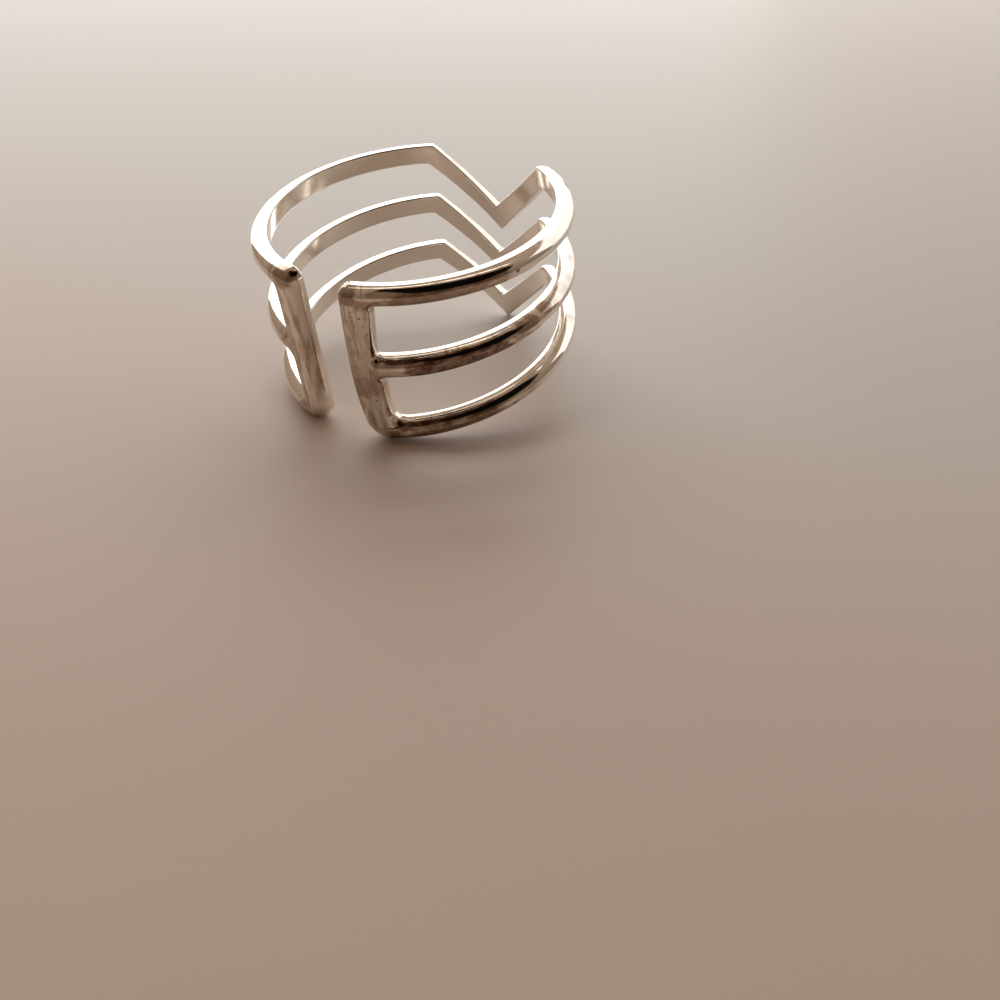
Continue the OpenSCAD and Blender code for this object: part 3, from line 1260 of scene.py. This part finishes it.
@dataclass(frozen=True)
class SoftBox:
    """A soft box that faces the ring.

    It stands at azimuth, in degrees from +X towards +Y, and elevation over the table. Its distance, and
    its size as width and height, are metres. brightness is how bright its face looks.
    """

    name: str
    azimuth: float
    elevation: float
    distance: float
    size: tuple[float, float]
    brightness: float
    colour: Triple

    def build(self) -> bpy.types.Object:
        """Places the soft box.

        Returns:
            The light.
        """
        data = bpy.data.lights.new(self.name, "AREA")
        data.shape = "RECTANGLE"
        data.size, data.size_y = self.size
        data.energy = self.brightness * math.pi * self.size[0] * self.size[1]
        data.color = self.colour
        light = bpy.data.objects.new(self.name, data)
        a, e = math.radians(self.azimuth), math.radians(self.elevation)
        away = Vector((math.cos(a) * math.cos(e), math.sin(a) * math.cos(e), math.sin(e)))
        turn = away.to_track_quat("Z", "Y").to_matrix().to_4x4()
        light.matrix_world = Matrix.Translation(away * self.distance) @ turn
        bpy.context.scene.collection.objects.link(light)
        return light


@dataclass(frozen=True)
class Studio:
    """Soft light, a pale surrounding and the camera at the photographed angle.

    The surrounding gives light of the colour air, as strong as room towards bright_way and as dim
    elsewhere, while the camera itself sees the plain colour backdrop.
    """

    view: Viewpoint = Viewpoint()
    card: DarkCard = DarkCard()
    lights: tuple[SoftBox, ...] = (
        SoftBox("window", 134.0, 27.0, 0.40, (0.48, 0.38), 2.4, (0.93, 0.98, 1.0)),
        SoftBox("far_window", 76.0, 26.0, 0.40, (0.40, 0.34), 0.95, (0.94, 0.97, 1.0)),
        SoftBox("overhead_strip", 124.0, 79.0, 0.125, (0.11, 0.005), 2.0, (1.0, 0.90, 0.78)),
    )
    room: float = 0.36
    dim: float = 0.20
    bright_way: Triple = (-0.5, 0.6, 0.62)
    bright_span: Span = (-0.2, 1.0)
    air: Triple = (1.0, 0.75, 0.55)
    backdrop: Triple = (0.72, 0.69, 0.66)

    def build(self) -> None:
        """Builds the camera, the surrounding, the lights and the card."""
        self.view.build()
        self.world()
        for light in self.lights:
            light.build()
        self.card.build(self.view)

    def world(self) -> None:
        """Builds a surrounding that is bright behind the ring and dim behind the camera."""
        world = bpy.data.worlds.new("studio")
        bpy.context.scene.world = world
        world.use_nodes = True
        world.node_tree.nodes.clear()
        sheet = NodeSheet(world.node_tree)
        toward = sheet.add("ShaderNodeVectorMath", operation="DOT_PRODUCT")
        sheet.feed(toward.inputs[0], sheet.add("ShaderNodeTexCoord").outputs["Generated"])
        toward.inputs[1].default_value = self.bright_way
        shader = sheet.add("ShaderNodeBackground")
        shader.inputs["Color"].default_value = (*self.air, 1.0)
        strength = sheet.ramp(toward.outputs["Value"], *self.bright_span, self.dim, self.room)
        sheet.feed(shader.inputs["Strength"], strength)
        pale = sheet.add("ShaderNodeBackground")
        pale.inputs["Color"].default_value = (*self.backdrop, 1.0)
        choose = sheet.add("ShaderNodeMixShader")
        sheet.feed(choose.inputs[0], sheet.add("ShaderNodeLightPath").outputs["Is Camera Ray"])
        sheet.feed(choose.inputs[1], shader.outputs[0])
        sheet.feed(choose.inputs[2], pale.outputs[0])
        sheet.feed(sheet.add("ShaderNodeOutputWorld").inputs["Surface"], choose.outputs[0])


def report(name: str, build: Callable[[], object]) -> None:
    """Builds one thing and logs what it is.

    Args:
        name: What is being built.
        build: Its builder.
    """
    made = build()
    mesh = getattr(made, "data", None)
    faces = len(mesh.polygons) if isinstance(mesh, bpy.types.Mesh) else 0
    log.info("%s: %d faces", name, faces)


def main() -> None:
    """Builds the ring, the table and the studio."""
    logging.basicConfig(level=logging.INFO, format="%(message)s")
    bpy.context.scene.view_settings.view_transform = "Standard"
    report("ring", OpenChevronRing().build)
    report("table", PaleTable().build)
    report("studio", Studio().build)


if __name__ == "__main__":
    main()
